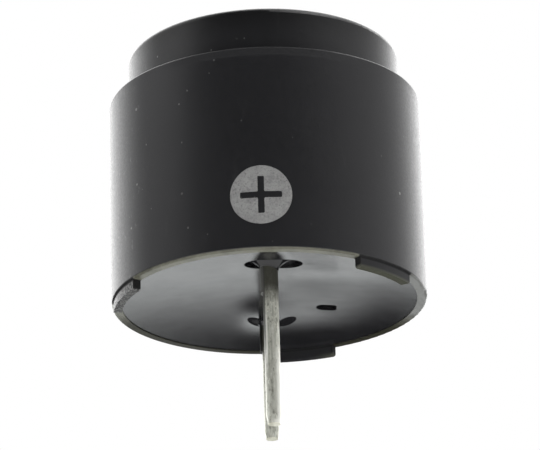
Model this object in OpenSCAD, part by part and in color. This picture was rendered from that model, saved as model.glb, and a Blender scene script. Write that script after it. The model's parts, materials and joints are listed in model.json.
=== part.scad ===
// Magnetic buzzer with its own drive circuit, for through-hole mounting on a circuit board.
// The origin is on the axis, in the plane that the feet stand on. +Z points to the sound hole,
// the pins hang below that plane on the Y axis, and the positive pin is on the -Y side.

/* [Case] */
// Outer diameter of the body
case_d = 16; // [13:0.1:22]
// Height from the feet to the top
case_h = 13.85; // [13:0.05:20]
// Height of the narrower collar at the top
collar_h = 2.62; // [2:0.02:3.4]
// Step from the body wall in to the collar wall
collar_step = 1.02; // [0.6:0.02:1.3]
// Thickness of the collar wall
collar_w = 0.9; // [0.6:0.05:1.2]
// Thickness of the top
top_t = 1; // [0.6:0.05:1.4]
// Thickness of the shoulder over the support ring
shoulder_t = 0.97; // [0.6:0.01:1.4]
// Thickness of the wall at the open rim
rim_w = 0.5; // [0.4:0.05:0.8]
// Step of the bore at each seat, for the board, the yoke and the support ring
seat_w = 0.3; // [0.2:0.05:0.4]
// Diameter of the sound hole
sound_hole_d = 2.5; // [1.5:0.1:4]
// Rounding of the top edge
edge_r = 0.3; // [0.1:0.05:0.5]
// Rounding of the shoulder and the rim
small_edge_r = 0.12; // [0.05:0.01:0.2]
// Fillet between the shoulder and the collar
collar_fillet_r = 0.15; // [0.05:0.05:0.3]
// Width of the chamfer around the sound hole
hole_chamfer = 0.2; // [0.1:0.05:0.3]

/* [Feet] */
// Height of the feet under the rim
foot_h = 0.5; // [0.3:0.05:1]
// Angle that each foot spans
foot_span = 27.4; // [15:0.2:50]
// Turn of the first foot from the positive pin towards +X
foot_turn = 47.4; // [0:0.2:119]
// Distance from the body wall in to the outer face of the feet
foot_inset = 0.08; // [0.02:0.02:0.2]
// Rounding at the lower ends of the feet
foot_edge_r = 0.14; // [0.04:0.02:0.2]

/* [Pins] */
// Distance between the pins
pin_pitch = 9; // [7.5:0.1:10.8]
// Diameter of the pins
pin_d = 0.76; // [0.5:0.02:0.9]
// Length of the positive pin below the feet
positive_pin_len = 7.34; // [3:0.02:12]
// Length of the negative pin below the feet
negative_pin_len = 5.28; // [3:0.02:12]
// How far the root of a pin stands out on one side, where the wire is upset
root_out = 0.11; // [0.06:0.01:0.2]
// Length of the root below the feet
root_len = 0.58; // [0.2:0.02:1.5]
// Length of the tapered tip
tip_len = 0.46; // [0.2:0.02:1.2]
// Diameter of the cut end
tip_d = 0.62; // [0.3:0.02:0.74]
// Length of the pins above the board
pin_top = 0.5; // [0.3:0.05:0.8]

/* [Sealing resin] */
// Depth of the resin's edge inside the rim
resin_sink = 0.05; // [0.05:0.05:0.6]
// Depth of the dished surface below its edge
resin_dish = 0.6; // [0.1:0.05:0.9]
// Thickness of the resin at the middle
resin_t = 1.25; // [1:0.05:2]
// Half of the length of the pit around the positive pin, along X
positive_pit_r = 1.45; // [1.2:0.05:1.6]
// Depth of the pit around the positive pin
positive_pit_depth = 0.25; // [0.1:0.05:0.4]
// Half of the length of the pit around the negative pin, along X
negative_pit_r = 1.25; // [1.1:0.05:1.6]
// Depth of the pit around the negative pin
negative_pit_depth = 0.15; // [0.1:0.05:0.4]
// Distance from each pin to the middle of its pit, towards +X
pit_shift = 0.18; // [0:0.02:0.24]
// Distance from each pin to the middle of its pit, towards -Y
pit_back = 0.2; // [0:0.05:0.3]
// Length of each pit against its width
pit_long = 1.7; // [1.4:0.05:1.9]
// Radius of the fillet that climbs each pin
climb_r = 0.78; // [0.4:0.02:0.85]
// Half of the length of the small open bubble, along X
bubble_r = 0.58; // [0.2:0.02:0.7]
// Depth of the bubble
bubble_depth = 0.5; // [0.1:0.05:0.7]
// Distance of the bubble from the axis along X
bubble_x = 3; // [2.4:0.1:4]
// Distance of the bubble from the axis along Y
bubble_y = 2.2; // [0:0.1:2.4]

/* [Circuit board] */
// Thickness of the board
board_t = 1; // [0.6:0.1:1.2]
// Diameter of the pin holes
pin_hole_d = 0.95; // [0.92:0.01:1.2]
// Height of the space between the board and the yoke
part_room = 1.8; // [1.8:0.1:2.4]
// Distance from the side wall to the row of parts on each side
part_edge = 3; // [2.6:0.1:3.4]

/* [Magnet and coil] */
// Thickness of the yoke plate
yoke_t = 0.9; // [0.6:0.1:1.2]
// Radial thickness of the ring magnet
magnet_w = 2.2; // [1.4:0.1:2.4]
// Chamfer on the edges of the magnet and of the core's top
magnet_chamfer = 0.15; // [0.05:0.05:0.25]
// Radius of the pole core
core_r = 1.5; // [1:0.1:1.8]
// Radius of the tenon that is swaged through the yoke
tenon_r = 1.1; // [0.7:0.1:1.3]
// Radius of the swaged head
head_r = 2; // [1.6:0.1:2.1]
// Thickness of the swaged head
head_t = 0.35; // [0.2:0.05:0.4]
// Thickness of the bobbin's wall and flanges
bobbin_t = 0.35; // [0.25:0.05:0.45]
// Gap between the coil and the magnet
coil_gap = 0.45; // [0.3:0.05:0.8]
// Share of the winding space that the drive coil takes
drive_share = 0.6; // [0.5:0.05:0.7]
// Diameter of the lead wires
lead_d = 0.14; // [0.1:0.02:0.2]

/* [Diaphragm] */
// Thickness of the diaphragm
diaphragm_t = 0.1; // [0.05:0.01:0.15]
// Air gap between the pole core and the diaphragm
air_gap = 0.3; // [0.15:0.05:0.35]
// Height of the diaphragm's seat above the magnet
ring_seat_h = 0.4; // [0.3:0.05:0.6]
// Height of the support ring
ring_h = 0.9; // [0.85:0.05:1.2]
// Radial width of the diaphragm's seat
ring_seat_w = 0.8; // [0.5:0.05:1]
// Radial wall of the support ring around the diaphragm
ring_w = 0.35; // [0.2:0.05:0.5]
// Radius of the armature disc on the diaphragm
armature_r = 2.6; // [1.6:0.1:3.4]
// Thickness of the armature disc
armature_t = 0.3; // [0.15:0.05:0.4]

/* [Hidden] */
$fn = 96;

fit = 0.05;      // radial clearance of a part that drops into the case
spare = 1;       // how far a cut runs past the face that it opens
bite = 0.1;      // how far pieces of one solid run into each other
sink = 0.1;      // how far the windings and the bobbin stay below the edges that guard them

// Radii, from the wall inwards
case_r = case_d / 2;
collar_r = case_r - collar_step;
rim_r = case_r - rim_w;
seat_r = rim_r - seat_w;
ledge_r = seat_r - seat_w;
cavity_r = collar_r - collar_w;
foot_r = case_r - foot_inset;
magnet_r = ledge_r - fit;
magnet_bore_r = magnet_r - magnet_w;
flange_r = magnet_bore_r - coil_gap;
tube_r = core_r + fit + bobbin_t;
winding_r = flange_r - sink;
drive_r = tube_r + drive_share * (winding_r - tube_r);
diaphragm_r = magnet_r - ring_w - fit;

// Heights, from the feet up
shoulder_z = case_h - collar_h;
resin_edge_z = foot_h + resin_sink;
resin_z = resin_edge_z + resin_dish;
dish_r = (rim_r * rim_r + resin_dish * resin_dish) / (2 * resin_dish);
board_z = resin_z + resin_t;
board_top = board_z + board_t;
yoke_z = board_top + part_room;
yoke_top = yoke_z + yoke_t;
ledge_z = shoulder_z - shoulder_t;
magnet_top = ledge_z - ring_h;
diaphragm_z = magnet_top + ring_seat_h;
core_top = diaphragm_z - air_gap;
bobbin_top = magnet_top - sink;

root_skin = 0.02;   // how far the root stands out on its other side
bubble_wide = 1.6;  // the bubble is this much longer along X than along Y
bubble_flat = 0.8;  // its flat side is at this share of its half length

// The parts on the board: body sizes of common surface-mount outlines
transistor_size = [1.3, 2.9, 1];
leg_w = 0.4;
leg_t = 0.12;
leg_reach = 0.55;
leg_pitch = 1.9;
stand_off = 0.1;
resistor_size = [1.25, 2, 0.5];
resistor_cap = 0.35;
resistor_y = 2.7;
diode_d = 1.35;
diode_len = 3.5;
diode_cap = 0.5;
diode_y = -0.9;
glass_inset = 0.05;  // the glass is this much smaller in radius than its end caps
part_x = seat_r - part_edge;

// The coil leads: each runs straight from the outer turns of its winding to a solder dot on the board
drive_lead_r = drive_r - lead_d;
feedback_lead_r = winding_r - lead_d;
drive_lead_x = [-0.75, -0.25];
feedback_lead_x = [0.25, 0.75];
drive_end_x = [-1.3, -0.12];
feedback_end_x = [0.12, 1.3];
dot_x = [-1.3, 0, 1.3];
dot_y = 2.45;
lead_slot_w = 2.4;
lead_slot_r = 0.3;
lead_clear = 0.1;    // room between the leads and the edges of their slot

// Solder: the dots on the lead pads and the cones round the pins
dot_r = 0.42;
dot_h = 0.32;
cone_foot = 0.4;     // width of the cone's foot outside the pin's hole
cone_lip = 0.05;     // width of its upper edge outside the pin
cone_share = 0.8;    // share of the pin's free length that it covers
toe_run = 0.18;      // how far the solder runs out from the transistor's legs
chip_run = 0.3;      // how far it runs out from the ends of the resistor and the diode
chip_rise = 0.7;     // share of their height that it climbs

// Height of the dished resin at radius r
function resin_at(r) = resin_z - dish_r + sqrt(dish_r * dish_r - r * r);

// The convex corner of a profile, cut round: the corner is at the origin, towards +X and +Y
module corner_cut(r) {
    difference() {
        translate([-r, -r]) square(r + spare);
        translate([-r, -r]) circle(r);
    }
}

// A solid ring, or a disc where the inner radius is 0
module ring(inner_r, outer_r, low_z, high_z) {
    rotate_extrude() translate([inner_r, low_z]) square([outer_r - inner_r, high_z - low_z]);
}

// A round bar from point a to point b
module bar(a, b, d) {
    run = b - a;
    translate(a) rotate([0, acos(run.z / norm(run)), atan2(run.y, run.x)])
        cylinder(d = d, h = norm(run), $fn = 24);
}

// Half of the case in section, with its stepped bore
module housing_profile() {
    difference() {
        union() {
            difference() {
                translate([0, foot_h]) square([case_r, shoulder_z - foot_h]);
                translate([case_r, shoulder_z]) corner_cut(small_edge_r);
                translate([case_r, foot_h]) mirror([0, 1]) corner_cut(small_edge_r);
            }
            difference() {
                translate([0, foot_h]) square([collar_r, case_h - foot_h]);
                translate([collar_r, case_h]) corner_cut(edge_r);
            }
            difference() {
                translate([collar_r - bite, shoulder_z - bite]) square(bite + collar_fillet_r);
                translate([collar_r + collar_fillet_r, shoulder_z + collar_fillet_r])
                    circle(collar_fillet_r);
            }
        }
        square([rim_r, board_top]);
        square([seat_r, yoke_top]);
        square([ledge_r, ledge_z]);
        square([cavity_r, case_h - top_t]);
        square([sound_hole_d / 2, case_h + spare]);
        polygon([
            [0, case_h - hole_chamfer], [sound_hole_d / 2, case_h - hole_chamfer],
            [sound_hole_d / 2 + hole_chamfer, case_h], [sound_hole_d / 2 + hole_chamfer, case_h + spare],
            [0, case_h + spare]
        ]);
    }
}

// The round at one lower end of a foot, along the radius that the foot ends on
module foot_end_cut() {
    rotate([0, 0, foot_span / 2]) translate([rim_r - spare, 0, 0]) rotate([90, 0, 90])
        linear_extrude(rim_w + 2 * spare) mirror([0, 1]) corner_cut(foot_edge_r);
}

// One foot, centred on the +X direction: an arc on the rim with its lower ends rounded
module foot() {
    difference() {
        rotate([0, 0, -foot_span / 2]) rotate_extrude(angle = foot_span)
            translate([rim_r, 0]) square([foot_r - rim_r, foot_h + bite]);
        foot_end_cut();
        mirror([0, 1, 0]) foot_end_cut();
    }
}

module housing() {
    color("#26262a") {
        rotate_extrude() housing_profile();
        for (i = [0 : 2]) rotate([0, 0, foot_turn - 90 + 120 * i]) foot();
    }
}

// The pin in its own frame: wire with a tapered end, and the root that is upset to one side
module pin_shape(len) {
    rotate_extrude() polygon([
        [0, -len], [tip_d / 2, -len], [pin_d / 2, tip_len - len],
        [pin_d / 2, board_top + pin_top], [0, board_top + pin_top]
    ]);
    translate([-(root_out - root_skin) / 2, 0, -root_len])
        cylinder(r = (pin_d + root_out + root_skin) / 2, h = root_len + board_z);
}

// The pin in its place: side is -1 for the positive one and 1 for the negative one
module pin(side) {
    color("#b9b8a8") translate([0, side * pin_pitch / 2, 0])
        pin_shape(side < 0 ? positive_pin_len : negative_pin_len);
}

// One pit as a solid that is longer along X: two rounds and the block between their middles
module pit_shape(half_len, h) {
    r = half_len / pit_long;
    for (side = [-1, 1]) translate([side * (half_len - r), 0, 0]) cylinder(r = r, h = h);
    translate([r - half_len, -r, 0]) cube([2 * (half_len - r), 2 * r, h]);
}

// The resin that climbs a pin from the floor of its pit. Its fillet ends inside the pit's ends.
module pin_climb(pit_r, pit_z) {
    r = min(climb_r, pit_r - pit_shift - pin_d / 2 - bite);
    rotate_extrude() difference() {
        translate([0, pit_z - r]) square([pin_d / 2 + r, r + bite]);
        translate([pin_d / 2 + r, pit_z - r]) circle(r);
    }
}

// Half of the resin in section, with its dished underside
module resin_profile() {
    difference() {
        translate([0, resin_edge_z]) square([rim_r, board_z - resin_edge_z]);
        translate([0, resin_z - dish_r]) circle(dish_r, $fn = 360);
    }
}

// The open bubble near the middle: two overlapping rounds, cut flat on one side
module bubble() {
    r = bubble_r / bubble_wide;
    h = resin_at(norm([bubble_x, bubble_y])) + bubble_depth;
    translate([bubble_x, bubble_y, 0]) intersection() {
        union() {
            for (side = [-1, 1]) translate([side * (bubble_r - r), 0, 0]) cylinder(r = r, h = h, $fn = 48);
            translate([r - bubble_r, -r, 0]) cube([2 * (bubble_r - r), 2 * r, h]);
        }
        translate([-spare, -spare, 0]) cube([spare + bubble_flat * bubble_r, 2 * spare, board_z]);
    }
}

module sealing_resin() {
    surface_z = resin_at(pin_pitch / 2);
    pits = [[-1, positive_pit_r, surface_z + positive_pit_depth],
        [1, negative_pit_r, surface_z + negative_pit_depth]];
    color("#3a3b3e") difference() {
        union() {
            difference() {
                rotate_extrude() resin_profile();
                for (pit = pits) translate([pit_shift, pit[0] * pin_pitch / 2 - pit_back, 0])
                    pit_shape(pit[1], pit[2]);
            }
            for (pit = pits) translate([0, pit[0] * pin_pitch / 2, 0]) pin_climb(pit[1], pit[2]);
        }
        for (side = [-1, 1]) pin(side);
        bubble();
    }
}

module circuit_board() {
    color("#8a6a3c") difference() {
        ring(0, rim_r - fit, board_z, board_top);
        for (side = [-1, 1]) translate([0, side * pin_pitch / 2, board_z - spare])
            cylinder(d = pin_hole_d, h = board_t + 2 * spare);
    }
}

// A cone of solder round a pin, on the board
module pin_solder(side) {
    color("silver") difference() {
        translate([0, side * pin_pitch / 2, board_top])
            cylinder(r1 = pin_hole_d / 2 + cone_foot, r2 = pin_d / 2 + cone_lip, h = cone_share * pin_top);
        pin(side);
    }
}

// The two ends of a lead: in the winding, and in its solder dot
function lead_start(r, x) = [x, sqrt(r * r - x * x), yoke_top + bobbin_t + bite];
function lead_end(x) = [x, dot_y, board_top + dot_h / 2];

module coil_leads(r, start_x, end_x) {
    for (i = [0 : len(start_x) - 1]) bar(lead_start(r, start_x[i]), lead_end(end_x[i]), lead_d);
}

module drive_leads() {
    coil_leads(drive_lead_r, drive_lead_x, drive_end_x);
}

module feedback_leads() {
    coil_leads(feedback_lead_r, feedback_lead_x, feedback_end_x);
}

module lead_solder() {
    color("silver") difference() {
        for (x = dot_x) translate([x, dot_y, board_top])
            cylinder(r1 = dot_r, r2 = dot_r / 2, h = dot_h, $fn = 40);
        drive_leads();
        feedback_leads();
    }
}

module transistor_body() {
    color("#303030") translate([part_x, 0, board_top + stand_off])
        translate([-transistor_size.x / 2, -transistor_size.y / 2, 0]) cube(transistor_size);
}

// One gull-wing leg, from the body's side at X = 0 out to +X
module leg() {
    rise = transistor_size.z / 2 + stand_off;
    knee = 0.45 * leg_reach;
    rotate([90, 0, 0]) translate([0, 0, -leg_w / 2]) linear_extrude(leg_w) polygon([
        [0, rise], [knee, rise], [knee, leg_t], [leg_reach, leg_t], [leg_reach, 0],
        [knee - leg_t, 0], [knee - leg_t, rise - leg_t], [0, rise - leg_t]
    ]);
}

module transistor_legs() {
    color("silver") translate([part_x, 0, board_top]) {
        for (side = [-1, 1]) translate([transistor_size.x / 2, side * leg_pitch / 2, 0]) leg();
        rotate([0, 0, 180]) translate([transistor_size.x / 2, 0, 0]) leg();
    }
}

// A block on the board, centred on the part's place
module chip(size, y) {
    translate([-part_x - size.x / 2, y - size.y / 2, board_top]) cube(size);
}

module base_resistor() {
    color("#222") chip(resistor_size - [0, 2 * resistor_cap, 0], resistor_y);
}

module resistor_caps() {
    end_y = (resistor_size.y - resistor_cap) / 2;
    for (side = [-1, 1]) color("silver")
        chip([resistor_size.x, resistor_cap, resistor_size.z], resistor_y + side * end_y);
}

// A round stretch of the diode, lying along Y on the board
module diode_part(d, from_y, to_y) {
    translate([-part_x, diode_y + from_y, board_top + diode_d / 2]) rotate([-90, 0, 0])
        cylinder(d = d, h = to_y - from_y, $fn = 48);
}

module diode_glass() {
    half = diode_len / 2 - diode_cap;
    color("#c8642a") diode_part(diode_d - 2 * glass_inset, -half, half);
}

module diode_caps() {
    color("silver") {
        diode_part(diode_d, -diode_len / 2, diode_cap - diode_len / 2);
        diode_part(diode_d, diode_len / 2 - diode_cap, diode_len / 2);
    }
}

// A fillet of solder on the board, against an upright face at X = 0 and out to +X
module solder_fillet(w, run, h) {
    rotate([90, 0, 0]) translate([0, 0, -w / 2]) linear_extrude(w) polygon([[0, 0], [run, 0], [0, h]]);
}

module chip_solder() {
    color("silver") translate([0, 0, board_top]) {
        translate([part_x, 0, 0]) {
            for (side = [-1, 1]) translate([transistor_size.x / 2 + leg_reach, side * leg_pitch / 2, 0])
                solder_fillet(leg_w, toe_run, leg_t);
            rotate([0, 0, 180]) translate([transistor_size.x / 2 + leg_reach, 0, 0])
                solder_fillet(leg_w, toe_run, leg_t);
        }
        for (side = [-1, 1]) {
            translate([-part_x, resistor_y + side * resistor_size.y / 2, 0]) rotate([0, 0, side * 90])
                solder_fillet(resistor_size.x, chip_run, chip_rise * resistor_size.z);
            translate([-part_x, diode_y + side * diode_len / 2, 0]) rotate([0, 0, side * 90])
                solder_fillet(chip_rise * diode_d, chip_run, chip_rise * diode_d);
        }
    }
}

// The slot that the coil leads pass through, with rounded corners. It starts inside the innermost lead
// and runs out past the bobbin's flange.
module lead_slot(low_z, high_z) {
    a = lead_start(drive_lead_r, drive_lead_x[0]);
    b = lead_end(drive_end_x[0]);
    under_y = a.y + (b.y - a.y) * (a.z - yoke_z) / (a.z - b.z);
    low_y = min(a.y, under_y) - lead_d / 2 - lead_clear;
    high_y = flange_r + lead_clear;
    translate([0, 0, low_z]) {
        translate([-lead_slot_w / 2, low_y + lead_slot_r, 0])
            cube([lead_slot_w, high_y - low_y - 2 * lead_slot_r, high_z - low_z]);
        translate([lead_slot_r - lead_slot_w / 2, low_y, 0])
            cube([lead_slot_w - 2 * lead_slot_r, high_y - low_y, high_z - low_z]);
        for (x = [-1, 1], y = [low_y + lead_slot_r, high_y - lead_slot_r])
            translate([x * (lead_slot_w / 2 - lead_slot_r), y, 0])
                cylinder(r = lead_slot_r, h = high_z - low_z, $fn = 32);
    }
}

module yoke_plate() {
    color("#9a9a9e") difference() {
        ring(tenon_r, seat_r - fit, yoke_z, yoke_top);
        lead_slot(yoke_z - spare, yoke_top + spare);
    }
}

module pole_core() {
    c = magnet_chamfer;
    color("#a8a8ac") rotate_extrude() {
        polygon([
            [0, yoke_top], [core_r, yoke_top], [core_r, core_top - c], [core_r - c, core_top], [0, core_top]
        ]);
        translate([0, yoke_z - bite]) square([tenon_r, yoke_t + 2 * bite]);
        translate([0, yoke_z - head_t]) square([head_r, head_t]);
    }
}

module ring_magnet() {
    a = magnet_bore_r;
    b = magnet_r;
    c = magnet_chamfer;
    color("#4a4a4e") rotate_extrude() polygon([
        [a + c, yoke_top], [b - c, yoke_top], [b, yoke_top + c], [b, magnet_top - c],
        [b - c, magnet_top], [a + c, magnet_top], [a, magnet_top - c], [a, yoke_top + c]
    ]);
}

module coil_bobbin() {
    color("#d8d4c4") difference() {
        union() {
            ring(core_r + fit, tube_r, yoke_top, bobbin_top);
            ring(core_r + fit, flange_r, yoke_top, yoke_top + bobbin_t);
            ring(core_r + fit, flange_r, bobbin_top - bobbin_t, bobbin_top);
        }
        lead_slot(yoke_top - spare, yoke_top + bobbin_t + bite);
    }
}

module drive_coil() {
    color("#b86a34") {
        ring(tube_r, drive_r, yoke_top + bobbin_t, bobbin_top - bobbin_t);
        drive_leads();
    }
}

module feedback_coil() {
    color("#c88448") {
        ring(drive_r, winding_r, yoke_top + bobbin_t, bobbin_top - bobbin_t);
        feedback_leads();
    }
}

module support_ring() {
    color("#55565a") difference() {
        ring(diaphragm_r - ring_seat_w, magnet_r, magnet_top, ledge_z);
        ring(0, magnet_r - ring_w, diaphragm_z, ledge_z + spare);
    }
}

module diaphragm() {
    color("#c4c4c8") ring(0, diaphragm_r, diaphragm_z, diaphragm_z + diaphragm_t);
}

module armature_disc() {
    color("#b0b0b4")
        ring(0, armature_r, diaphragm_z + diaphragm_t, diaphragm_z + diaphragm_t + armature_t);
}

housing();
sealing_resin();
pin(-1);  // positive_pin
pin(1);  // negative_pin
circuit_board();
pin_solder(-1);  // positive_solder
pin_solder(1);  // negative_solder
lead_solder();
transistor_body();
transistor_legs();
base_resistor();
resistor_caps();
diode_glass();
diode_caps();
chip_solder();
yoke_plate();
pole_core();
ring_magnet();
coil_bobbin();
drive_coil();
feedback_coil();
support_ring();
diaphragm();
armature_disc();
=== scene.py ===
"""Looks of the magnetic buzzer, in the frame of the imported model.

Sizes and places are in mm, and MM turns them into Blender's metres. The camera stands at -Y, so the near pin
is the positive one, left is -X and right is +X. The sealed side is at the bottom, and the collar at the top.
"""
import json
import math

import bmesh
import bpy
from mathutils import Matrix, Vector, geometry


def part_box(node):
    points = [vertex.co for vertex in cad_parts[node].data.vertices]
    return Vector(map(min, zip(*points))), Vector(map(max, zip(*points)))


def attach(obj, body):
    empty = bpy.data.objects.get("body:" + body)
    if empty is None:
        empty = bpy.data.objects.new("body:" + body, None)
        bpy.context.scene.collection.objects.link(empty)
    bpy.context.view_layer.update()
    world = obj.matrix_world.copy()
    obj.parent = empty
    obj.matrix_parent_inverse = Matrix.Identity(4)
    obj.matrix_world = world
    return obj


MM = 0.001
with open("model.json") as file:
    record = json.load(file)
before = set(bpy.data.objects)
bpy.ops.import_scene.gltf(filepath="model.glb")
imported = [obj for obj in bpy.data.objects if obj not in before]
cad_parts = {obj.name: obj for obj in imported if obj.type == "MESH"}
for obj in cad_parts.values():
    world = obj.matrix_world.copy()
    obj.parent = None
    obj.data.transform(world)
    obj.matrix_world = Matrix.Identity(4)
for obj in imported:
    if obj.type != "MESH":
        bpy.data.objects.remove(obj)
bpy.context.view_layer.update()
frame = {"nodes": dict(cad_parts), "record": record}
scene = bpy.context.scene

# what the frame gives
case_low, case_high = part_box("housing")
case_r = (case_high.x - case_low.x) / 2 / MM
case_top = case_high.z / MM
near_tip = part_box("positive_pin")[0].z / MM
far_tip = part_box("negative_pin")[0].z / MM
pins = next(mount["dims"] for mount in frame["record"]["mounts"] if mount["name"] == "board_pins")
pin_y = pins["spacing_y_mm"] / 2
wire_r = pins["stud_r_mm"]

# sizes of the CAD model that the frame doesn't give
foot_h = 0.5            # the rim lies this far above the underside of the feet
foot_at = -42.6         # the middle of the first of three feet, in degrees from +X
foot_span = 27.4        # the angle that each foot spans, in degrees
shoulder_z = 11.23      # where the body ends and the collar starts
root_len = 0.58         # the thick root of each pin reaches this far below the underside of the feet


# ---------------------------------------------------------------- node helpers
class Field:
    """One output of a node, with arithmetic: a number, colour or direction that changes over the surface."""

    def __init__(self, shader, socket):
        self.shader = shader
        self.socket = socket

    def math(self, operation, other=0.0):
        return self.shader.math(operation, self, other)

    def __add__(self, other):
        return self.math("ADD", other)

    def __sub__(self, other):
        return self.math("SUBTRACT", other)

    def __rsub__(self, other):
        return self.shader.math("SUBTRACT", other, self)

    def __mul__(self, other):
        return self.math("MULTIPLY", other)

    def __truediv__(self, other):
        return self.math("DIVIDE", other)

    def __rpow__(self, number):
        return self.shader.math("POWER", number, self)

    def __abs__(self):
        return self.math("ABSOLUTE")

    def most(self, other):
        return self.math("MAXIMUM", other)

    def remap(self, low, high, to_low, to_high, smooth=True):
        """Runs from to_low at low to to_high at high, and is level outside them."""
        course = "SMOOTHSTEP" if smooth else "LINEAR"
        return self.shader.output("MapRange", "Result", interpolation_type=course, Value=self,
                                  From_Min=low, From_Max=high, To_Min=to_low, To_Max=to_high)

    def rise(self, low, high):
        """0 below low, 1 above high, and smooth between them."""
        return self.remap(low, high, 0.0, 1.0)

    def fall(self, low, high):
        """1 below low, 0 above high, and smooth between them."""
        return self.remap(low, high, 1.0, 0.0)

    def ramp(self, *stops):
        """Runs straight from stop to stop, each of which is a position and a number."""
        node = self.shader.add("ValToRGB", Fac=self)
        elements = node.color_ramp.elements
        while len(elements) < len(stops):
            elements.new(1.0)
        for element, (position, number) in zip(elements, stops):
            element.position = position
            element.color = (number, number, number, 1)
        return Field(self.shader, node.outputs["Color"])


class Shader:
    """A material, or the world, whose nodes are added by short calls."""

    def __init__(self, owner):
        owner.use_nodes = True
        self.tree = owner.node_tree
        self.tree.nodes.clear()

    def put(self, socket, value):
        """Links a field to a socket, or sets the socket's own number, sizes or colour."""
        if isinstance(value, Field):
            self.tree.links.new(value.socket, socket)
        elif socket.type == "RGBA":
            socket.default_value = (*value, 1)
        else:
            socket.default_value = value

    def add(self, kind, **values):
        """Adds a node with its options and inputs by name, where _ stands for a space."""
        node = self.tree.nodes.new("ShaderNode" + kind)
        for key, value in values.items():
            if hasattr(node, key):
                setattr(node, key, value)
            else:
                self.put(node.inputs[key.replace("_", " ")], value)
        return node

    def output(self, kind, name, **values):
        """Adds a node and gives one of its outputs."""
        return Field(self, self.add(kind, **values).outputs[name])

    def show(self, node, target="OutputMaterial"):
        """Makes a node's shader the one that is rendered."""
        self.tree.links.new(node.outputs[0], self.add(target).inputs["Surface"])

    def surface(self, **values):
        """A Principled surface, with its inputs by name."""
        self.show(self.add("BsdfPrincipled", **values))

    def scaled(self, vector, scale):
        return self.output("Mapping", "Vector", Vector=vector, Scale=scale)

    def place(self):
        """The point that is shaded, in mm."""
        return self.scaled(self.output("TexCoord", "Object"), (1 / MM, 1 / MM, 1 / MM))

    def axes(self, vector):
        return [Field(self, socket) for socket in self.add("SeparateXYZ", Vector=vector).outputs]

    def noise(self, vector, per_mm, detail, roughness=0.55, stretch=(1, 1, 1)):
        """Noise with about per_mm features a millimetre along each axis, divided by stretch."""
        where = self.scaled(vector, tuple(per_mm / factor for factor in stretch))
        return self.output("TexNoise", "Fac", Vector=where, Scale=1.0, Detail=detail, Roughness=roughness)

    def specks(self, vector, per_mm):
        """The distance to the nearest of scattered points, per_mm of them a millimetre along each axis."""
        return self.output("TexVoronoi", "Distance", Vector=self.scaled(vector, per_mm), Scale=1.0)

    def math(self, operation, a, b):
        node = self.add("Math", operation=operation)
        self.put(node.inputs[0], a)
        self.put(node.inputs[1], b)
        return Field(self, node.outputs[0])

    def mix(self, share, a, b):
        """The colour a where share is 0, and b where it is 1."""
        node = self.add("Mix", data_type="RGBA", Factor=share)
        first, second = [socket for socket in node.inputs if socket.type == "RGBA"]
        self.put(first, a)
        self.put(second, b)
        return Field(self, next(socket for socket in node.outputs if socket.type == "RGBA"))

    def layers(self, base, *coats):
        """Lays coats over a base colour, one after another. Each is how much of it covers, and its colour."""
        for cover, colour in coats:
            base = self.mix(cover, base, colour)
        return base

    def bump(self, height, depth, strength=1.0, **below):
        """Raises the surface by height times depth. Normal= gives a bump that it lies on."""
        return self.output("Bump", "Normal", Height=height, Distance=depth * MM, Strength=strength, **below)

    def lean(self, normal, along_y):
        """Tips a normal along Y."""
        tipped = self.add("VectorMath", operation="ADD")
        self.put(tipped.inputs[0], normal)
        self.put(tipped.inputs[1], self.output("CombineXYZ", "Vector", Y=along_y))
        tipped = Field(self, tipped.outputs[0])
        return self.output("VectorMath", "Vector", operation="NORMALIZE", Vector=tipped)


finishes = {}


def material(name):
    """Starts a new material, which finishes then holds under its name."""
    finishes[name] = bpy.data.materials.new(name)
    return Shader(finishes[name])


# ---------------------------------------------------------------- the case
def case_dust(shader, at, x, z):
    """Dust that lies in clouds, and finer lint that is thickest to the left."""
    dust = shader.specks(at, (0.62, 0.62, 0.62)).fall(0.035, 0.06)
    clouds = shader.noise(at, 0.55, detail=2).ramp((0.5, 0.0), (0.62, 1.0))
    lint = shader.specks(at, (1.5, 1.5, 1.1)).fall(0.05, 0.085)
    tufts = shader.noise(at, 1.3, detail=3).ramp((0.5, 0.0), (0.56, 1.0))
    to_left = (x - z * 0.3).remap(-7.5, -1, 1.0, 0.25)
    return (dust * clouds).most(lint * tufts * to_left)


def feet(x, y, z):
    """Where round the case the feet are, and thin upright lines at their ends, which are painted as shade."""
    # this cosine is 1 at the middle of each of the three feet, and foot_end at both of its ends
    around = ((y.math("ARCTAN2", x) - math.radians(foot_at)) * 3.0).math("COSINE")
    foot_end = math.cos(3 * math.radians(foot_span / 2))
    footed = around.rise(foot_end - 0.03, foot_end)
    shaded_end_lines = abs(around - foot_end).fall(0.006, 0.018) * z.fall(foot_h - 0.05, foot_h)
    return footed, shaded_end_lines


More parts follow.
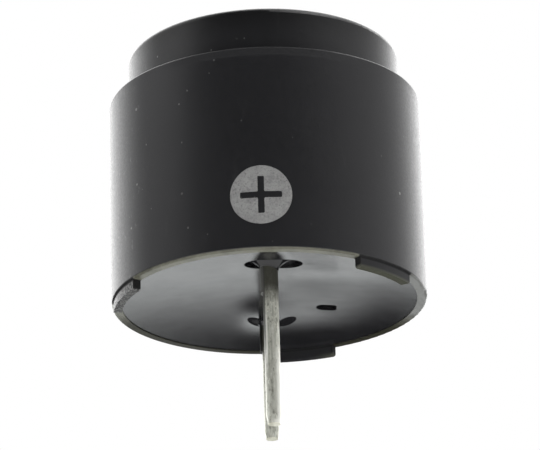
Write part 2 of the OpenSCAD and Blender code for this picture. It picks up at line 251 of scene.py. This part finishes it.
def case_plastic():
    """Satin black moulding, dusty and scuffed, with a rim that is worn pale where the case was handled."""
    shader = material("case_plastic")
    at = shader.place()
    x, y, z = shader.axes(at)
    grain = shader.noise(at, 9, detail=5, roughness=0.62)
    cloud = shader.noise(at, 0.35, detail=3)
    rub = shader.noise(at, 1.1, detail=6, roughness=0.7, stretch=(1, 1, 3.5))
    scuffs = rub.ramp((0.62, 0.0), (0.8, 1.0))
    flakes = shader.noise(at, 3.2, detail=5, roughness=0.7, stretch=(1, 1, 1.8)).ramp((0.6, 0.0), (0.68, 1.0))
    flakes = flakes * x.fall(-7.2, -5.2)
    # painted shade: the collar darkens towards its top
    shaded_top = (z + cloud * 0.8).rise(case_top - 1.25, case_top + 0.15)

    # the open rim, and the feet that stand on it
    footed, shaded_end_lines = feet(x, y, z)
    low = z.fall(foot_h + 0.05, foot_h + 0.12)
    edge = low * z.rise(foot_h - 0.1, foot_h - 0.03)
    ledge = edge * footed
    rim = edge - ledge
    # painted shade: dark lines where the feet step in from the wall, and at the ends of the feet
    foot_shade_lines = ledge.most(shaded_end_lines)

    # wear: the rim in front and to the right, and the left foot; a painted reflection of the floor lightens
    # the lower edge of the feet to the right
    in_front = (y + x * 0.6).fall(-4.4, -1.2)
    to_right = x.rise(5.5, 6.8) * y.fall(1.5, 4.5)
    worn = in_front.most(to_right) * rim
    worn_tint = shader.mix(to_right, (0.15, 0.15, 0.115), (0.15, 0.153, 0.146))
    scraped = x.fall(-6.4, -5) * z.fall(foot_h - 0.2, foot_h)
    scrapes = shader.noise(at, 8, detail=5, roughness=0.75).rise(0.44, 0.58)
    # painted reflection of the floor on the lower edge of the feet to the right
    painted_reflection_edge = (z + rub * 0.1).fall(0.1, 0.22) * x.rise(2, 4)

    base = shader.layers(
        shader.mix(cloud, (0.013, 0.013, 0.015), (0.019, 0.019, 0.0215)),
        (shaded_top * 0.75, (0.003, 0.003, 0.0035)),
        (scuffs * 0.35, (0.05, 0.05, 0.052)),
        (flakes * 0.5, (0.12, 0.12, 0.122)),
        (case_dust(shader, at, x, z) * 0.55, (0.3, 0.3, 0.29)),
        (scraped, shader.mix(scrapes, (0.014, 0.014, 0.015), (0.19, 0.19, 0.186))),
        (rim * 0.8, (0.034, 0.033, 0.018)),
        (worn * rub.remap(0.35, 0.55, 0.6, 1.0), worn_tint),
        (foot_shade_lines, (0.004, 0.004, 0.0045)),
        (painted_reflection_edge * 0.8, (0.075, 0.077, 0.055)),
    )

    # what is dull: the shoulder's edge in the middle of the front and the back, and the painted shade lines
    # at the feet
    shoulder = z.rise(shoulder_z - 0.53, shoulder_z - 0.33) * z.fall(shoulder_z + 0.07, shoulder_z + 0.27)
    dull = (shoulder * abs(x).remap(1.5, 5.5, 0.4, 0.0)).most(foot_shade_lines * 0.4)
    rough = grain.remap(0.3, 0.7, 0.33, 0.44) + scuffs * 0.12

    # the feet and the rim look slightly bevelled where they aren't worn
    bevel = (low - worn) * x.remap(-4, 3, -0.12, -0.34)
    normal = shader.bump(grain, 0.0035, strength=0.55)
    normal = shader.bump(cloud, 0.02, strength=0.35, Normal=normal)
    normal = shader.lean(normal, bevel)
    shader.surface(Base_Color=base, Roughness=rough + dull, Normal=normal, IOR=1.5)


# ---------------------------------------------------------------- the resin
def swell(x, y, middle, reach, height):
    """A soft round swelling, seen along Z. Its middle and its reach are given along X and Y."""
    across = (x - middle[0]) / reach[0]
    along = (y - middle[1]) / reach[1]
    return math.e ** ((across * across + along * along) * -1.0) * height


def pit_leaves(x, y):
    """The two shallow leaves of the pit beside the far pin. The left one is flatter inside."""
    # they mirror each other in the line x = mirror_x, and slant towards the front as they run out
    mirror_x, leaf_x, leaf_y = 0.15, 0.78, pin_y - 0.42
    out = abs(x - mirror_x) - leaf_x
    across = out / 0.48
    along = (y - leaf_y + out * 0.7) / 0.5
    square = across * across + along * along
    flat = square.fall(0.25, 0.6) * x.remap(-0.1, 0.1, 1.0, 0.1)
    return square.fall(0.85, 1.1) * (1.0 - flat * 0.6)


def resin():
    """Glossy black resin, poured and set in soft waves."""
    shader = material("resin")
    at = shader.place()
    x, y, _ = shader.axes(at)
    haze = shader.noise(at, 0.8, detail=5, roughness=0.65)
    # the surface as it set: a slope to the right, and highs and lows
    waves = y * x.remap(3.2, 6.4, 0.0, 0.055)
    for middle, reach, height in (
        ((1.7, 5.5), (2.6, 2.6), -0.24),
        ((4.6, 9.0), (4.2, 3.8), 0.5),
        ((2.4, -2.6), (2.2, 1.9), -0.1),
        ((-0.55, pin_y - 1.4), (0.85, 1.7), 0.24),
    ):
        waves = waves + swell(x, y, middle, reach, height)
    # the foot of the meniscus in front of the near pin
    foot = swell(x, y, (-0.05, -pin_y - 1.4), (0.62, 1.3), 0.5)
    foot = foot + swell(x, y, (0.0, -pin_y - 0.3), (0.85, 0.6), 0.5)
    normal = shader.bump(waves, 1.0)
    normal = shader.lean(normal, (pit_leaves(x, y) * 0.45 + foot) * -1.0)
    for per_mm, detail, rough, depth in ((0.32, 2, 0.4, 0.03), (1.3, 3, 0.5, 0.006), (11, 4, 0.6, 0.0012)):
        ripples = shader.noise(at, per_mm, detail, roughness=rough)
        normal = shader.bump(ripples, depth, strength=0.5, Normal=normal)
    base = shader.mix(haze, (0.01, 0.01, 0.011), (0.017, 0.017, 0.019))
    shader.surface(Base_Color=base, Roughness=haze.remap(0.3, 0.75, 0.13, 0.22), Normal=normal, IOR=1.55)


# ---------------------------------------------------------------- the pins
def tinned_pin():
    """Tinned wire with drawing lines and flecks, dark near the resin, and painted shade and highlights down
    the sides. The near pin has a bright burr.
    """
    shader = material("tinned_pin")
    at = shader.place()
    x, y, z = shader.axes(at)
    drawn = shader.noise(at, 8, detail=5, roughness=0.65, stretch=(1, 1, 12))
    flecks = shader.noise(at, 7, detail=4, roughness=0.6, stretch=(1, 1, 2.6))
    patches = shader.noise(at, 1.5, detail=4, roughness=0.65, stretch=(1, 1, 2.2))
    crumbs = shader.noise(at, 11, detail=4, roughness=0.7).ramp((0.54, 0.0), (0.62, 0.75)) * z.rise(-3, -1.6)
    tone = drawn * 0.6 + patches * 0.4
    near = y.fall(-1, 1)
    wetted = (z + patches * 0.5).rise(-1.1, 0.1)
    # painted shade on the left side of each pin's root: near-black on the far pin, dark grey on the near one
    shaded_root_side = x.fall(-wire_r - 0.04, -wire_r + 0.11) * z.rise(-root_len - 0.08, -root_len)

    # down the near pin: painted shade as a dark streak on its left edge, a painted highlight as a bright line
    # beside that, and a painted highlight on its right side
    highlight_left = x.fall(-wire_r + 0.14, -wire_r + 0.2) * (z.fall(-2, -1.2) - z.remap(-5, -3.8, 0.9, 0.0))
    highlight_right = x.rise(wire_r - 0.28, wire_r - 0.1) * z.fall(-4.6, -3)
    shade_streak = x.fall(-wire_r + 0.07, -wire_r + 0.11) * (z + patches * 1.6).remap(-4.6, -1.6, 0.0, 0.8)

    # the cut ends of both pins, and the burr on the near one's right
    above_tip = z - y.remap(-1, 1, near_tip, far_tip)
    burr = above_tip.fall(0.1, 0.26) * x.rise(-0.1, 0.05)
    cut = above_tip.fall(0.01, 0.03)

    base = shader.layers(
        shader.mix(tone.rise(0.38, 0.62), (0.52, 0.525, 0.455), (0.84, 0.85, 0.765)),
        (flecks.ramp((0.34, 0.8), (0.44, 0.0)), (0.3, 0.3, 0.25)),
        (flecks.ramp((0.58, 0.0), (0.68, 0.8)), (0.97, 0.98, 0.9)),
        (crumbs, (1.0, 1.0, 0.9)),
        (wetted * 0.95, (0.065, 0.064, 0.05)),
        (highlight_right.most(highlight_left) * near * 0.9, (1.0, 1.0, 0.94)),
        (shade_streak * near, (0.04, 0.04, 0.034)),
        (shaded_root_side, shader.mix(near, (0.006, 0.006, 0.005), (0.2, 0.2, 0.19))),
        (burr * near, (1.0, 1.0, 0.93)),
        (cut * 0.5, (0.9, 0.87, 0.68)),
    )
    normal = shader.bump(drawn, 0.01, strength=0.7)
    normal = shader.bump(flecks, 0.012, strength=0.6, Normal=normal)
    shader.surface(Base_Color=base, Metallic=0.6, Roughness=tone.remap(0.35, 0.65, 0.55, 0.42), Normal=normal)


# ---------------------------------------------------------------- the pieces inside
def metal(name, light, dark, rough, per_mm, stretch=(1, 1, 1), depth=0.004):
    """Worn bare metal: drawing or grinding lines, and dull patches."""
    shader = material(name)
    at = shader.place()
    lines = shader.noise(at, per_mm, detail=5, roughness=0.6, stretch=stretch)
    patches = shader.noise(at, 1.6, detail=4, roughness=0.6)
    tone = lines * 0.5 + patches * 0.5
    shader.surface(Base_Color=shader.mix(tone.rise(0.35, 0.65), dark, light), Metallic=1.0,
                   Roughness=tone.remap(0.3, 0.7, rough + 0.12, rough),
                   Normal=shader.bump(lines, depth, strength=0.7))


def plain(name, light, dark, rough, per_mm, depth=0.004):
    """A moulded, sintered or glazed piece: mottled colour over a fine grain."""
    shader = material(name)
    at = shader.place()
    grain = shader.noise(at, per_mm * 2, detail=5, roughness=0.6)
    cloud = shader.noise(at, per_mm * 0.2, detail=3)
    mottle = (grain * 0.5 + cloud * 0.5).rise(0.35, 0.65)
    shader.surface(Base_Color=shader.mix(mottle, dark, light), Normal=shader.bump(grain, depth, strength=0.6),
                   Roughness=grain.remap(0.3, 0.7, rough - 0.06, rough + 0.06))


def winding_wire():
    """Enamelled wire: a fine ridge for each turn, one above the other, with painted shade in the grooves
    between the turns.
    """
    light, dark = (0.62, 0.27, 0.11), (0.2, 0.06, 0.02)
    turn_pitch = 0.09
    shader = material("winding_wire")
    at = shader.place()
    _, _, z = shader.axes(at)
    turns = (z * (2 * math.pi / turn_pitch)).math("SINE")
    uneven = shader.noise(at, 2.2, detail=3, stretch=(1, 1, 0.2))
    # painted shade: each turn is darker in its groove and lighter on its ridge
    base = shader.layers(shader.mix(turns.rise(-1, 1), dark, light), (uneven * 0.5, dark))
    shader.surface(Base_Color=base, Metallic=0.75, Roughness=uneven.remap(0.3, 0.7, 0.26, 0.38),
                   Coat_Weight=0.6, Coat_Roughness=0.12, Normal=shader.bump(turns, 0.018, strength=0.8))


def laminate():
    """Bare board: a woven glass cloth under the resin of the laminate."""
    weave_pitch = 0.35
    shader = material("laminate")
    at = shader.place()
    x, y, _ = shader.axes(at)
    across, along = [(axis * (2 * math.pi / weave_pitch)).math("SINE") for axis in (x, y)]
    weave = across * along
    cloud = shader.noise(at, 0.8, detail=4)
    base = shader.mix(weave.rise(-1, 1), (0.26, 0.16, 0.06), (0.36, 0.24, 0.1))
    base = shader.layers(base, (cloud * 0.4, (0.2, 0.13, 0.05)))
    shader.surface(Base_Color=base, Roughness=cloud.remap(0.3, 0.7, 0.42, 0.55),
                   Normal=shader.bump(weave, 0.01, strength=0.5))


def glass_sleeve():
    """The diode's amber glass."""
    shader = material("glass_sleeve")
    swirl = shader.noise(shader.place(), 1.4, detail=3)
    base = shader.mix(swirl, (0.6, 0.2, 0.06), (0.8, 0.42, 0.2))
    shader.surface(Base_Color=base, Roughness=swirl.remap(0.3, 0.7, 0.04, 0.1),
                   Transmission_Weight=0.7, IOR=1.5)


case_plastic()
resin()
tinned_pin()
winding_wire()
laminate()
glass_sleeve()
metal("solder", (0.78, 0.78, 0.77), (0.52, 0.52, 0.5), rough=0.2, per_mm=3, depth=0.006)
metal("tinned_leg", (0.75, 0.74, 0.7), (0.5, 0.49, 0.46), rough=0.28, per_mm=5)
metal("soft_iron", (0.5, 0.5, 0.5), (0.34, 0.34, 0.35), rough=0.34, per_mm=4, stretch=(3, 3, 1))
metal("spring_steel", (0.66, 0.66, 0.66), (0.5, 0.5, 0.51), rough=0.22, per_mm=5, stretch=(8, 1, 1))
plain("chip_moulding", (0.035, 0.035, 0.035), (0.022, 0.022, 0.022), rough=0.5, per_mm=7)
plain("chip_ceramic", (0.035, 0.035, 0.04), (0.02, 0.02, 0.024), rough=0.25, per_mm=5)
plain("ferrite", (0.06, 0.06, 0.065), (0.035, 0.035, 0.04), rough=0.55, per_mm=6, depth=0.01)
plain("bobbin_plastic", (0.74, 0.7, 0.6), (0.64, 0.59, 0.47), rough=0.35, per_mm=3)
plain("ring_plastic", (0.1, 0.1, 0.11), (0.065, 0.065, 0.07), rough=0.45, per_mm=5)

for part in frame["record"]["subparts"]:
    slots = frame["nodes"][part["node"]].data.materials
    slots.clear()
    slots.append(finishes[part["material_slot"]])


# ---------------------------------------------------------------- the printed plus mark
def print_ink():
    """Grey pad-printed ink with pinholes."""
    shader = material("print_ink")
    at = shader.place()
    grain = shader.noise(at, 10, detail=5, roughness=0.7)
    tone = grain * 0.6 + shader.noise(at, 1.6, detail=3) * 0.4
    pinholes = grain.ramp((0.33, 1.0), (0.4, 0.0))
    base = shader.mix(tone.rise(0.35, 0.65), (0.27, 0.27, 0.27), (0.42, 0.42, 0.415))
    base = shader.layers(base, (pinholes * 0.7, (0.09, 0.09, 0.09)))
    shader.surface(Base_Color=base, Roughness=grain.remap(0.3, 0.7, 0.5, 0.65),
                   Normal=shader.bump(grain, 0.006, strength=0.6))


def wobble(angle, seed, size):
    """A smooth uneven edge, the same on every run."""
    waves = [math.sin(k * angle + seed * (k + 1.7) ** 2) / k ** 0.5 for k in (3, 7, 11, 19, 31, 47, 71)]
    return size * sum(waves) / 3


def disc_outline(radius, uneven, count=260):
    """The edge of the printed disc, as points."""
    points = []
    for i in range(count):
        angle = 2 * math.pi * i / count
        points.append(Vector((math.cos(angle), math.sin(angle))) * (radius + wobble(angle, 1.0, uneven)))
    return points


def plus_outline(half_x, half_z, bar, uneven, spacing=0.045):
    """The edge of the plus, as points, with its corners rounded. Each arm is twice bar across."""
    corners = [(bar, half_z), (bar, bar), (half_x, bar), (half_x, -bar), (bar, -bar), (bar, -half_z),
               (-bar, -half_z), (-bar, -bar), (-half_x, -bar), (-half_x, bar), (-bar, bar), (-bar, half_z)]
    points = []
    for i, corner in enumerate(corners):
        here, following = Vector(corner), Vector(corners[(i + 1) % len(corners)])
        steps = max(2, int((following - here).length / spacing))
        points += [here.lerp(following, j / steps) for j in range(steps)]
    for _ in range(2):
        points = [(points[i - 1] + 2 * p + points[(i + 1) % len(points)]) / 4 for i, p in enumerate(points)]
    return [p + Vector((wobble(i * 0.21, 2.0, uneven), wobble(i * 0.17, 3.0, uneven)))
            for i, p in enumerate(points)]


def inside(outline, p):
    """Whether a point lies inside a closed outline."""
    odd = False
    for i, a in enumerate(outline):
        b = outline[i - 1]
        if (a.y > p.y) != (b.y > p.y) and p.x < (b.x - a.x) * (p.y - a.y) / (b.y - a.y) + a.x:
            odd = not odd
    return odd


def ink_sheet(disc, hole, radius, spacing=0.1, margin=0.06):
    """A flat sheet of triangles between two outlines: its points and its faces."""
    points, edges = [], []
    for outline in (disc, hole):
        start, count = len(points), len(outline)
        points += outline
        edges += [(start + i, start + (i + 1) % count) for i in range(count)]
    rows = int(radius / spacing) + 1
    grid = [(i * spacing, j * spacing) for i in range(-rows, rows + 1) for j in range(-rows, rows + 1)]
    points += [Vector(p) for p in grid if math.hypot(*p) < radius - margin]
    flat, _, faces, _, _, _ = geometry.delaunay_2d_cdt(points, edges, [], 0, 1e-6)
    kept = []
    for face in faces:
        middle = sum((flat[i] for i in face), Vector((0, 0))) / len(face)
        if inside(disc, middle) and not inside(hole, middle):
            kept.append(tuple(face))
    return flat, kept


def plus_mark():
    """A thin layer of ink on the curved wall: a disc that the plus is left out of."""
    # its middle is measured along the wall from the very front, and up from the underside of the feet
    centre_x, centre_z = -0.38, 3.33
    disc_r, ink_t = 1.53, 0.006
    flat, faces = ink_sheet(disc_outline(disc_r, uneven=0.018),
                            plus_outline(half_x=1.03, half_z=0.97, bar=0.16, uneven=0.014), disc_r)
    ink_r = case_r + ink_t
    places = []
    for p in flat:
        turn = (centre_x + p.x) / case_r
        places.append(Vector((ink_r * math.sin(turn), -ink_r * math.cos(turn), centre_z + p.y)) * MM)
    mesh = bpy.data.meshes.new("plus_mark")
    mesh.from_pydata(places, [], faces)
    bm = bmesh.new()
    bm.from_mesh(mesh)
    bmesh.ops.delete(bm, geom=[v for v in bm.verts if not v.link_faces], context="VERTS")
    bmesh.ops.recalc_face_normals(bm, faces=bm.faces)
    bm.normal_update()
    if sum(face.normal.y for face in bm.faces) > 0:
        bmesh.ops.reverse_faces(bm, faces=bm.faces)
    bm.to_mesh(mesh)
    bm.free()
    for polygon in mesh.polygons:
        polygon.use_smooth = True
    mesh.materials.append(finishes["print_ink"])
    piece = bpy.data.objects.new("plus_mark", mesh)
    scene.collection.objects.link(piece)
    return piece


print_ink()
mark = plus_mark()
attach(mark, "root")


# ---------------------------------------------------------------- camera
def camera(place, azimuth, elevation, roll, lens):
    """Azimuth runs from +Y towards +X, elevation is above the horizon, and angles are in degrees."""
    azimuth, elevation = math.radians(azimuth), math.radians(elevation)
    level = math.cos(elevation)
    ahead = Vector((math.sin(azimuth) * level, math.cos(azimuth) * level, math.sin(elevation)))
    right = ahead.cross(Vector((0, 0, 1))).normalized()
    up = right.cross(ahead)
    turn = Matrix.Rotation(math.radians(roll), 3, ahead)
    right, up = turn @ right, turn @ up
    data = bpy.data.cameras.new("camera")
    data.lens, data.sensor_width = lens, 36.0
    data.clip_start, data.clip_end = 0.001, 20.0
    made = bpy.data.objects.new("camera", data)
    made.matrix_world = Matrix((right, up, -ahead)).transposed().to_4x4()
    made.location = Vector(place) * MM
    scene.collection.objects.link(made)
    scene.camera = made


camera(place=(-2.34, -161.44, -57.04), azimuth=0.879, elevation=20.95, roll=1.64, lens=225.23)


# ---------------------------------------------------------------- studio
def floor_paint():
    """Pale matt paint."""
    shader = material("floor")
    cloud = shader.noise(shader.place(), 0.01, detail=3)
    shader.surface(Base_Color=shader.mix(cloud, (0.8, 0.8, 0.79), (0.84, 0.84, 0.835)), Roughness=0.8)


def card_light():
    """A soft glow for the reflector: bright towards the back, and dark close to the case."""
    shader = material("reflector")
    _, y, _ = shader.axes(shader.place())
    strength = y.remap(70, 185, 0.0, 1.35) * y.remap(230, 640, 1.0, 0.65)
    shader.show(shader.add("Emission", Color=(0.97, 1.0, 1.0), Strength=strength))


def sheet(name, low, high, z):
    """A level rectangle between two corners, which isn't part of the object."""
    corners = [(low[0], low[1], z), (high[0], low[1], z), (high[0], high[1], z), (low[0], high[1], z)]
    mesh = bpy.data.meshes.new(name)
    mesh.from_pydata([Vector(corner) * MM for corner in corners], [], [(0, 1, 2, 3)])
    mesh.materials.append(finishes[name])
    piece = bpy.data.objects.new(name, mesh)
    scene.collection.objects.link(piece)
    return piece


def studio_world():
    """White all round for the camera. As light it is dim in front and brightest towards the back."""
    # the brightness at each angle round the object, in degrees from the front towards +X
    levels = ((-180, 0.7), (-167, 3.6), (-155, 3.9), (-128, 2.0), (-112, 0.85), (-99, 0.3), (-83, 0.16),
              (-69, 0.11), (-45, 0.07), (0, 0.06), (25, 0.06), (47, 0.2), (72, 0.56), (91, 0.74),
              (104, 0.85), (117, 1.05), (130, 1.8), (150, 3.9), (167, 3.6), (180, 0.7))
    brightest = 4.0
    scene.world = bpy.data.worlds.new("studio")
    shader = Shader(scene.world)
    x, y, _ = shader.axes(shader.output("TexCoord", "Generated"))
    turn = x.math("ARCTAN2", y * -1.0)
    stops = [((degrees + 180) / 360, level / brightest) for degrees, level in levels]
    strength = turn.remap(-math.pi, math.pi, 0.0, 1.0, smooth=False).ramp(*stops) * brightest
    light = shader.add("Background", Strength=strength, Color=(1, 1, 1))
    white = shader.add("Background", Strength=1.0, Color=(1, 1, 1))
    blend = shader.add("MixShader", Fac=shader.output("LightPath", "Is Camera Ray"))
    shader.tree.links.new(light.outputs[0], blend.inputs[1])
    shader.tree.links.new(white.outputs[0], blend.inputs[2])
    shader.show(blend, "OutputWorld")


def soft_light(name, place, size, watts):
    """A square lamp that is turned towards the case."""
    aim = Vector((0, 0, 5))
    data = bpy.data.lights.new(name, "AREA")
    data.size = size * MM
    data.energy = watts
    lamp = bpy.data.objects.new(name, data)
    lamp.location = Vector(place) * MM
    lamp.rotation_euler = (aim - Vector(place)).to_track_quat("-Z", "Y").to_euler()
    scene.collection.objects.link(lamp)


floor_paint()
card_light()
sheet("floor", (-1500, -1500), (1500, 1500), z=-75)
reflector = sheet("reflector", (-400, 5), (400, 900), z=-60)
# the reflector is there for glossy surfaces only
reflector.visible_camera = reflector.visible_diffuse = False
reflector.visible_shadow = reflector.visible_transmission = False
studio_world()
soft_light("key", (260, -120, 420), size=260, watts=0.6)
soft_light("fill", (-320, -60, 260), size=240, watts=0.25)
scene.view_settings.view_transform = "Standard"
